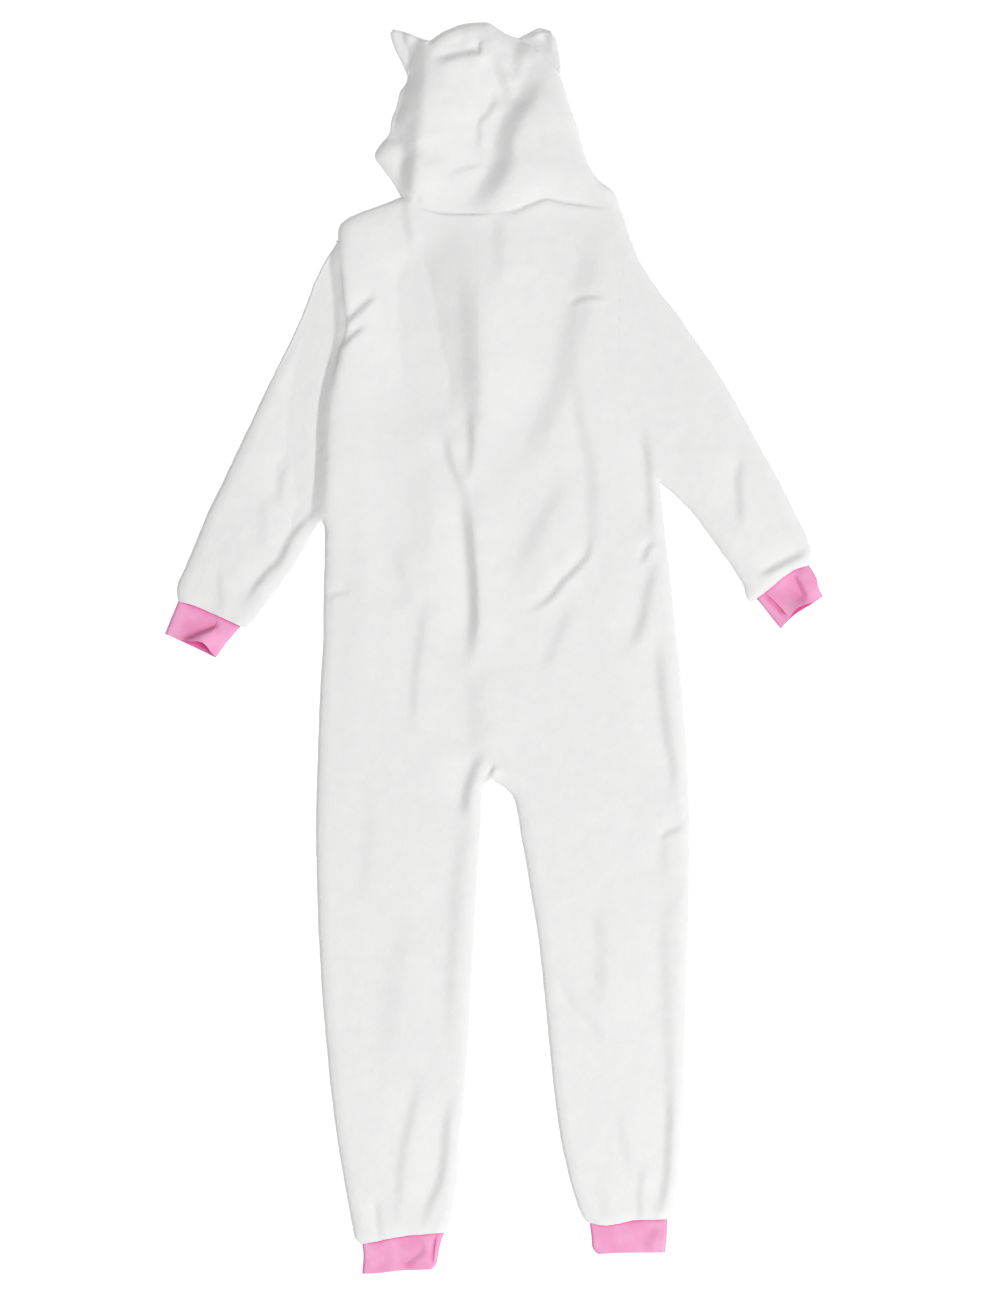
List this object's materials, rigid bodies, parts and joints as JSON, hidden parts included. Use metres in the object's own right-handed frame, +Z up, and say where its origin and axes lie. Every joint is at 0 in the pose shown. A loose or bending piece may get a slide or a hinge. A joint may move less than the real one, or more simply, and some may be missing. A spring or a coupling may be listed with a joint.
{
  "type": "hooded plush jumpsuit laid flat",
  "caption": "Child's hooded plush jumpsuit with eared hood and jersey cuffs, laid flat with its back upward.",
  "frame": {"origin": "middle of the laid outline, on the surface that it rests on", "axes": "+Y from the ankles to the hood, +Z up out of the surface on the side of the garment's back, +X to the right of a viewer who looks down at the back with the hood away from them"},
  "size_m": [0.7888, 1.5009, 0.0228],
  "materials": {
    "fleece": "white plush fleece with a short soft pile",
    "jersey": "pink ribbed jersey, folded double",
    "button": "white plastic, satin"
  },
  "bodies": {
    "root": {"back_left": "fleece", "back_right": "fleece", "front_left": "fleece", "front_right": "fleece", "button_band": "fleece", "sleeve_left": "fleece", "sleeve_right": "fleece", "hood_left": "fleece", "hood_right": "fleece", "ear_left_back": "fleece", "ear_left_front": "fleece", "ear_right_back": "fleece", "ear_right_front": "fleece", "cuff_sleeve_left": "jersey", "cuff_sleeve_right": "jersey", "cuff_leg_left": "jersey", "cuff_leg_right": "jersey", "button_1": "button", "button_2": "button", "button_3": "button", "button_4": "button", "button_5": "button", "button_6": "button"}
  },
  "joints": []
}
